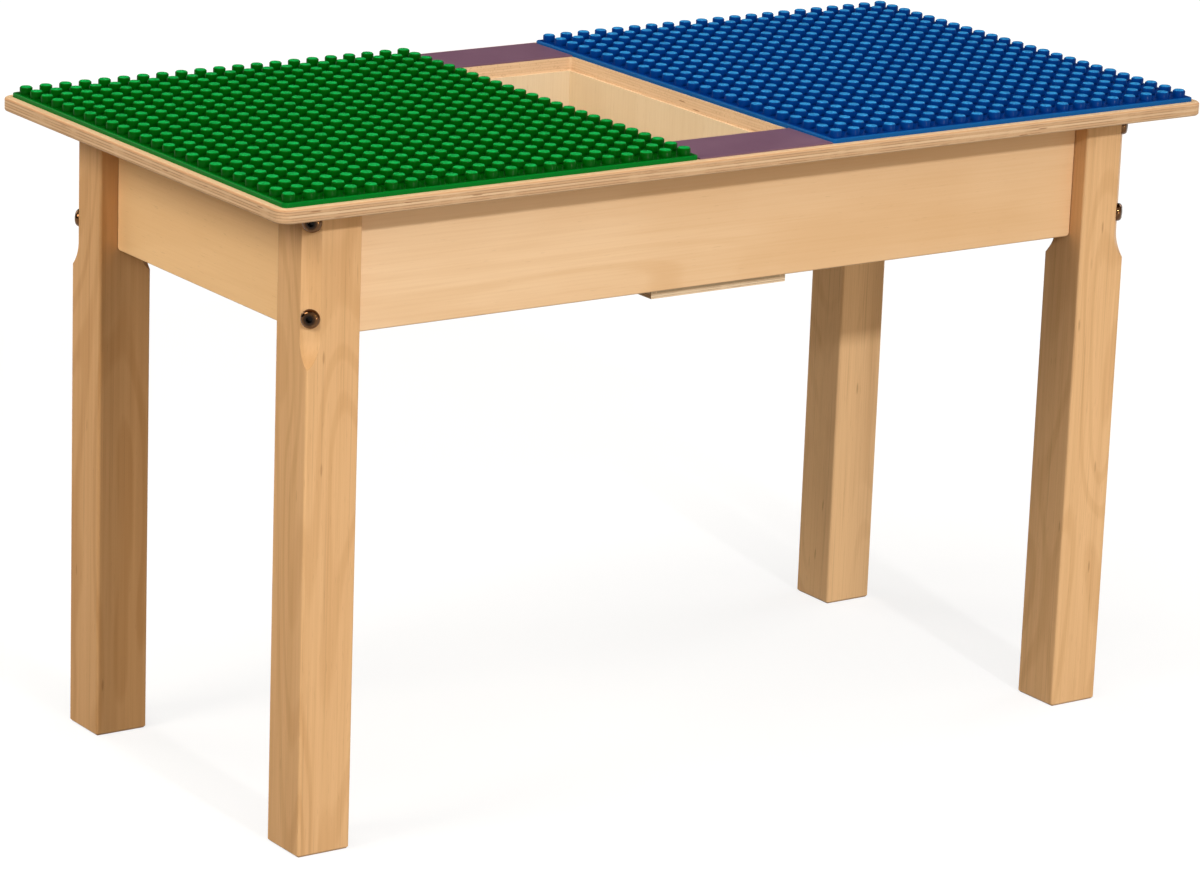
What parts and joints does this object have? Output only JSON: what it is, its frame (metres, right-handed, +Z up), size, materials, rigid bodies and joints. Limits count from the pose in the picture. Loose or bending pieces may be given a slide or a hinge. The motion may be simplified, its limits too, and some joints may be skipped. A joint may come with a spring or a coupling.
{
  "type": "play table",
  "caption": "Low wooden play table with studded green and blue plastic base plates beside an open toy bin, on square bolted legs.",
  "frame": {"origin": "on the floor under the middle of the table", "axes": "+X along the table's length to the blue plate, +Y to its back, +Z up"},
  "size_m": [0.8, 0.396, 0.4812],
  "materials": {
    "birch_plywood": "clear lacquer",
    "solid_birch": "clear lacquer",
    "green_plastic": "moulded gloss",
    "blue_plastic": "moulded gloss",
    "purple_laminate": "satin",
    "dark_bronze": "dark bronze plate",
    "zinc_steel": "zinc plate"
  },
  "bodies": {
    "root": {"apron_back": "birch_plywood", "apron_front": "birch_plywood", "apron_left": "birch_plywood", "apron_right": "birch_plywood", "back_trim_strip": "purple_laminate", "bin_back_wall": "birch_plywood", "bin_bottom": "birch_plywood", "bin_bottom_pins": "zinc_steel", "bin_corner_pins": "zinc_steel", "bin_front_wall": "birch_plywood", "bin_left_wall": "birch_plywood", "bin_right_wall": "birch_plywood", "block_screws": "zinc_steel", "blue_base_plate": "blue_plastic", "bolt_inserts_back_left": "zinc_steel", "bolt_inserts_back_right": "zinc_steel", "bolt_inserts_front_left": "zinc_steel", "bolt_inserts_front_right": "zinc_steel", "corner_block_back_left": "solid_birch", "corner_block_back_right": "solid_birch", "corner_block_front_left": "solid_birch", "corner_block_front_right": "solid_birch", "front_trim_strip": "purple_laminate", "green_base_plate": "green_plastic", "leg_back_left": "solid_birch", "leg_back_right": "solid_birch", "leg_bolts_back_left": "dark_bronze", "leg_bolts_back_right": "dark_bronze", "leg_bolts_front_left": "dark_bronze", "leg_bolts_front_right": "dark_bronze", "leg_front_left": "solid_birch", "leg_front_right": "solid_birch", "table_top": "birch_plywood", "top_screws": "zinc_steel"}
  },
  "joints": []
}
